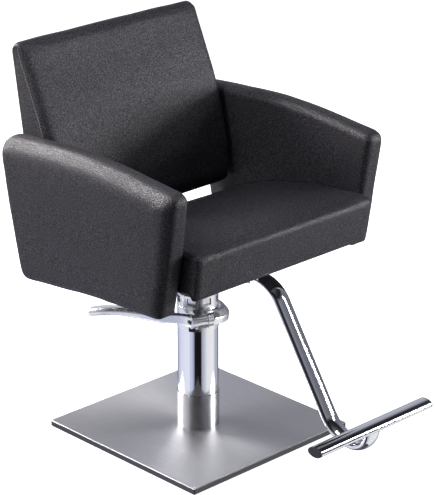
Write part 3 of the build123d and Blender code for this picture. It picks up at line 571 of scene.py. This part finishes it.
def brushed(name, base=(0.50, 0.50, 0.51), rough=0.34, along=(1, 0.02, 1)):
    m, nt, b = material(name)
    L = nt.links
    b.inputs["Metallic"].default_value = 1.0
    tc = node(nt, "ShaderNodeTexCoord")
    mp = node(nt, "ShaderNodeMapping")
    mp.inputs["Scale"].default_value = along
    L.new(tc.outputs["Object"], mp.inputs["Vector"])
    st = node(nt, "ShaderNodeTexNoise"); st.inputs["Scale"].default_value = 900; st.inputs["Detail"].default_value = 4
    L.new(mp.outputs["Vector"], st.inputs["Vector"])
    cl = node(nt, "ShaderNodeTexNoise"); cl.inputs["Scale"].default_value = 5; cl.inputs["Detail"].default_value = 4
    L.new(tc.outputs["Object"], cl.inputs["Vector"])
    c = ramp(nt, st.outputs["Fac"], [(0.3, tuple(x * 0.93 for x in base)), (0.7, tuple(min(1, x * 1.05) for x in base))])
    # painted shade: the sides and the chamfers are painted darker than the top, keyed to which way each face points
    geo = node(nt, "ShaderNodeNewGeometry")
    gz = node(nt, "ShaderNodeSeparateXYZ"); L.new(geo.outputs["True Normal"], gz.inputs[0])
    painted_shade_by_facing = ramp(nt, gz.outputs["Z"], [(0.0, (0.16, 0.16, 0.165)), (0.45, (0.16, 0.16, 0.165)), (0.62, (0.42, 0.42, 0.42)), (0.90, (0.42, 0.42, 0.42)), (0.97, (1, 1, 1))])
    painted_shade_multiply = node(nt, "ShaderNodeMix", data_type="RGBA", blend_type="MULTIPLY")
    painted_shade_multiply.inputs["Factor"].default_value = 1.0
    L.new(c.outputs["Color"], painted_shade_multiply.inputs["A"]); L.new(painted_shade_by_facing.outputs["Color"], painted_shade_multiply.inputs["B"])
    L.new(painted_shade_multiply.outputs["Result"], b.inputs["Base Color"])
    mx = node(nt, "ShaderNodeMath", operation="MULTIPLY_ADD")
    L.new(cl.outputs["Fac"], mx.inputs[0]); mx.inputs[1].default_value = 0.20; mx.inputs[2].default_value = rough - 0.10
    L.new(mx.outputs[0], b.inputs["Roughness"])
    b.inputs["Anisotropic"].default_value = 0.5
    bump = node(nt, "ShaderNodeBump"); bump.inputs["Strength"].default_value = 0.25; bump.inputs["Distance"].default_value = 0.0002
    L.new(st.outputs["Fac"], bump.inputs["Height"])
    L.new(bump.outputs["Normal"], b.inputs["Normal"])
    return m


def grained(name, base, rough, scale=500, strength=0.3, metallic=0.0, vary=0.15, spec=0.5):
    m, nt, b = material(name)
    L = nt.links
    b.inputs["Metallic"].default_value = metallic
    b.inputs["Specular IOR Level"].default_value = spec
    tc = node(nt, "ShaderNodeTexCoord")
    n1 = node(nt, "ShaderNodeTexNoise"); n1.inputs["Scale"].default_value = scale; n1.inputs["Detail"].default_value = 4
    n2 = node(nt, "ShaderNodeTexNoise"); n2.inputs["Scale"].default_value = 25; n2.inputs["Detail"].default_value = 3
    for t in (n1, n2):
        L.new(tc.outputs["Object"], t.inputs["Vector"])
    c = ramp(nt, n2.outputs["Fac"], [(0.3, tuple(x * (1 - vary) for x in base)), (0.7, tuple(min(1, x * (1 + vary)) for x in base))])
    L.new(c.outputs["Color"], b.inputs["Base Color"])
    r = ramp(nt, n1.outputs["Fac"], [(0.3, (rough * 0.9,) * 3), (0.7, (min(1, rough * 1.15),) * 3)])
    L.new(r.outputs["Color"], b.inputs["Roughness"])
    bump = node(nt, "ShaderNodeBump"); bump.inputs["Strength"].default_value = strength; bump.inputs["Distance"].default_value = 0.0003
    L.new(n1.outputs["Fac"], bump.inputs["Height"])
    L.new(bump.outputs["Normal"], b.inputs["Normal"])
    return m


def plywood(name):
    m, nt, b = material(name)
    L = nt.links
    tc = node(nt, "ShaderNodeTexCoord")
    mp = node(nt, "ShaderNodeMapping"); mp.inputs["Scale"].default_value = (1.0, 0.12, 1.0)
    L.new(tc.outputs["Object"], mp.inputs["Vector"])
    w = node(nt, "ShaderNodeTexNoise"); w.inputs["Scale"].default_value = 120; w.inputs["Detail"].default_value = 5; w.inputs["Distortion"].default_value = 0.6
    L.new(mp.outputs["Vector"], w.inputs["Vector"])
    c = ramp(nt, w.outputs["Fac"], [(0.3, (0.42, 0.27, 0.14)), (0.55, (0.60, 0.42, 0.25)), (0.75, (0.68, 0.50, 0.32))])
    L.new(c.outputs["Color"], b.inputs["Base Color"])
    b.inputs["Roughness"].default_value = 0.7
    bump = node(nt, "ShaderNodeBump"); bump.inputs["Strength"].default_value = 0.2; bump.inputs["Distance"].default_value = 0.0003
    L.new(w.outputs["Fac"], bump.inputs["Height"]); L.new(bump.outputs["Normal"], b.inputs["Normal"])
    return m


leather = leatherette()
MATS = {
    "brushed_plate": brushed("brushed_plate", base=(0.64, 0.64, 0.65), rough=0.42),
    "chrome": chrome("chrome"),
    "black_steel": grained("black_powder_coat", (0.02, 0.02, 0.022), 0.45, 700, 0.5),
    "zinc_bolt": grained("zinc_plate", (0.62, 0.62, 0.60), 0.3, 600, 0.15, metallic=1.0, vary=0.06),
    "inner_steel": grained("turned_steel", (0.5, 0.5, 0.51), 0.35, 800, 0.2, metallic=1.0, vary=0.06),
    "bronze": grained("bronze", (0.56, 0.38, 0.18), 0.35, 500, 0.2, metallic=1.0, vary=0.08),
    "black_rubber": grained("black_rubber", (0.018, 0.018, 0.019), 0.75, 900, 0.4, spec=0.3),
    "black_plastic": grained("black_plastic", (0.022, 0.023, 0.025), 0.5, 700, 0.35),
    "plywood": plywood("plywood"),
    "black_board": grained("painted_board", (0.018, 0.018, 0.02), 0.6, 300, 0.4, spec=0.3),
    "upholstery": leather,
}
cast = chrome("cast_chrome", rough=0.20, tint=(0.92, 0.92, 0.93))
satin = chrome("satin_chrome", rough=0.14, tint=(0.56, 0.56, 0.58))
thread = grained("thread", (0.30, 0.29, 0.28), 0.6, 900, 0.3, spec=0.3)
slots = {s["node"]: s["material_slot"] for s in record["subparts"]}
for name, ob in nodes.items():
    mat = MATS[slots[name]]
    if name in ("pump_head", "seat_hub", "lever_arm", "skirt_ring"):
        mat = cast
    if name == "base_socket":
        mat = satin
    if not ob.material_slots:
        ob.data.materials.append(mat)
    for s in ob.material_slots:
        s.material = mat

for ob, cad, fill in ((seat, "seat_cushion", 0.9), (back, "backrest", 0.9), (arm_l, "arm_left", 0.9), (arm_r, "arm_right", 0.9)):
    ob.data.materials.append(leather)
    if ob is back:
        ob.data.materials.append(thread)
    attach(ob, "chair")
    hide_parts(cad)

# ------------------------------------------------------------------ stage
floor_mat, fnt, fb = material("studio_floor")
fb.inputs["Base Color"].default_value = (0.90, 0.90, 0.905, 1)
fb.inputs["Roughness"].default_value = 0.8
fb.inputs["Emission Color"].default_value = (1, 1, 1, 1)
fb.inputs["Emission Strength"].default_value = 0.78
me = bpy.data.meshes.new("studio_floor")
R = 40.0
me.from_pydata([(-R, -R, -0.0005), (R, -R, -0.0005), (R, R, -0.0005), (-R, R, -0.0005)], [], [(0, 1, 2, 3)])
floor = bpy.data.objects.new("studio_floor", me)
scene.collection.objects.link(floor)
floor.data.materials.append(floor_mat)
floor.visible_glossy = False
floor.visible_diffuse = False

# a drum of studio flats round the set, seen only as reflections in the bright metal
drum_stops = [
    (0.031, (0.62, 0.66, 0.85)), (0.064, (0.36, 0.39, 0.50)), (0.082, (0.008, 0.008, 0.009)), (0.176, (0.008, 0.008, 0.009)),
    (0.189, (0.40, 0.41, 0.48)), (0.231, (0.58, 0.60, 0.70)), (0.267, (0.86, 0.86, 0.87)), (0.383, (0.95, 0.95, 0.95)),
    (0.433, (0.50, 0.53, 0.60)), (0.508, (0.40, 0.42, 0.50)), (0.539, (0.06, 0.06, 0.07)), (0.628, (0.30, 0.30, 0.33)),
    (0.694, (0.10, 0.10, 0.13)), (0.747, (0.52, 0.54, 0.72)), (0.833, (0.76, 0.79, 0.96)), (0.942, (0.86, 0.88, 0.98))]
dm = bpy.data.materials.new("studio_flats")
dm.use_nodes = True
dn = dm.node_tree
dn.nodes.clear()
do = dn.nodes.new("ShaderNodeOutputMaterial")
de = dn.nodes.new("ShaderNodeEmission")
dt = dn.nodes.new("ShaderNodeTexCoord")
dsx = dn.nodes.new("ShaderNodeSeparateXYZ")
dn.links.new(dt.outputs["Object"], dsx.inputs[0])
at = dn.nodes.new("ShaderNodeMath"); at.operation = "ARCTAN2"
dn.links.new(dsx.outputs["Y"], at.inputs[0]); dn.links.new(dsx.outputs["X"], at.inputs[1])
tt = dn.nodes.new("ShaderNodeMath"); tt.operation = "MULTIPLY_ADD"
dn.links.new(at.outputs[0], tt.inputs[0]); tt.inputs[1].default_value = 1 / (2 * pi); tt.inputs[2].default_value = 0.5
dr = ramp(dn, tt.outputs[0], drum_stops)
dn.links.new(dr.outputs["Color"], de.inputs["Color"])
de.inputs["Strength"].default_value = 1.0
dn.links.new(de.outputs[0], do.inputs["Surface"])
bm = bmesh.new()
bmesh.ops.create_cone(bm, cap_ends=False, segments=96, radius1=1.25, radius2=1.25, depth=1.9)
bmesh.ops.translate(bm, verts=bm.verts, vec=(0, 0, -0.98))
me = bpy.data.meshes.new("studio_flats")
bm.to_mesh(me); bm.free()
drum = bpy.data.objects.new("studio_flats", me)
scene.collection.objects.link(drum)
drum.data.materials.append(dm)
drum.visible_camera = False
drum.visible_diffuse = False
drum.visible_shadow = False
drum.visible_transmission = False


def area(name, loc, target, size, power, color=(1, 1, 1), size_y=None):
    d = bpy.data.lights.new(name, "AREA")
    d.shape = "RECTANGLE"
    d.size = size
    d.size_y = size_y or size
    d.energy = power
    d.color = color
    o = bpy.data.objects.new(name, d)
    o.location = loc
    o.rotation_euler = (Vector(target) - Vector(loc)).to_track_quat("-Z", "Y").to_euler()
    scene.collection.objects.link(o)
    return o


def polar(az, el, dist, z0=0.45):
    a, e = radians(az), radians(el)
    return (dist * cos(e) * cos(a), dist * cos(e) * sin(a), z0 + dist * sin(e))


area("key", polar(114, 30, 2.6), (0, 0, 0.65), 0.9, 106, (1.0, 0.955, 0.945), 0.8)
area("side", polar(165, 44, 1.9), (0, 0, 0.8), 0.6, 19, (1.0, 0.96, 0.96), 0.6)
area("front", polar(-44, 7, 3.0), (0, 0, 0.6), 0.7, 82, (0.975, 0.96, 1.0), 0.8)
area("strip", polar(-46, 25, 3.0), (0, -0.3, 0.3), 0.3, 9, (1.0, 1.0, 1.0), 0.75)
area("top", (0.0, -0.5, 2.9), (0, 0.0, 0.5), 1.0, 15, (0.93, 0.94, 1.0))

world = bpy.data.worlds.new("studio")
scene.world = world
world.use_nodes = True
wn = world.node_tree
wl = wn.links
bg = wn.nodes["Background"]
tcw = wn.nodes.new("ShaderNodeTexCoord")


def toward(x, y, z):
    d = wn.nodes.new("ShaderNodeVectorMath"); d.operation = "DOT_PRODUCT"
    wl.new(tcw.outputs["Generated"], d.inputs[0])
    d.inputs[1].default_value = Vector((x, y, z)).normalized()
    h = wn.nodes.new("ShaderNodeMath"); h.operation = "MULTIPLY_ADD"
    wl.new(d.outputs["Value"], h.inputs[0]); h.inputs[1].default_value = 0.5; h.inputs[2].default_value = 0.5
    return h.outputs[0]


def wmix(kind, a, b, fac=1.0):
    m = wn.nodes.new("ShaderNodeMix"); m.data_type = "RGBA"; m.blend_type = kind
    m.inputs["Factor"].default_value = fac
    wl.new(a, m.inputs["A"]); wl.new(b, m.inputs["B"])
    return m.outputs["Result"]


# elevation: grey floor bounce below, a cool band above the horizon, a dark ceiling
tall = ramp(wn, toward(0, 0, 1), [(0.0, (0.18, 0.18, 0.19)), (0.30, (0.33, 0.33, 0.35)), (0.49, (0.40, 0.40, 0.43)), (0.56, (0.86, 0.88, 1.0)),
                                  (0.80, (0.84, 0.86, 0.98)), (0.86, (0.05, 0.05, 0.055)), (0.93, (0.10, 0.10, 0.11)), (1.0, (0.35, 0.35, 0.37))])
# left rear of the studio is bright, right front is dim
sideways = ramp(wn, toward(-0.69, 0.72, 0), [(0.0, (0.16, 0.16, 0.17)), (0.35, (0.45, 0.45, 0.46)), (0.6, (0.85, 0.85, 0.85)), (1.0, (1.15, 1.14, 1.12))])
# the dark side of the room, behind the viewer
behind = ramp(wn, toward(-0.73, -0.48, 0.38), [(0.0, (1, 1, 1)), (0.89, (1, 1, 1)), (0.945, (0.05, 0.05, 0.055)), (1.0, (0.05, 0.05, 0.055))])
room = wmix("MULTIPLY", wmix("MULTIPLY", tall.outputs["Color"], sideways.outputs["Color"]), behind.outputs["Color"])
wl.new(room, bg.inputs["Color"])
bg.inputs["Strength"].default_value = 0.8

cam_d = bpy.data.cameras.new("camera")
cam_d.sensor_width = 36
cam_d.lens = 162.015
cam_d.clip_end = 60
cam = bpy.data.objects.new("camera", cam_d)
cam.location = (-2.97941, -3.14225, 2.10269)
cam.rotation_euler = (radians(68.699), 0, radians(-44.024))
scene.collection.objects.link(cam)
scene.camera = cam
scene.view_settings.view_transform = "Standard"
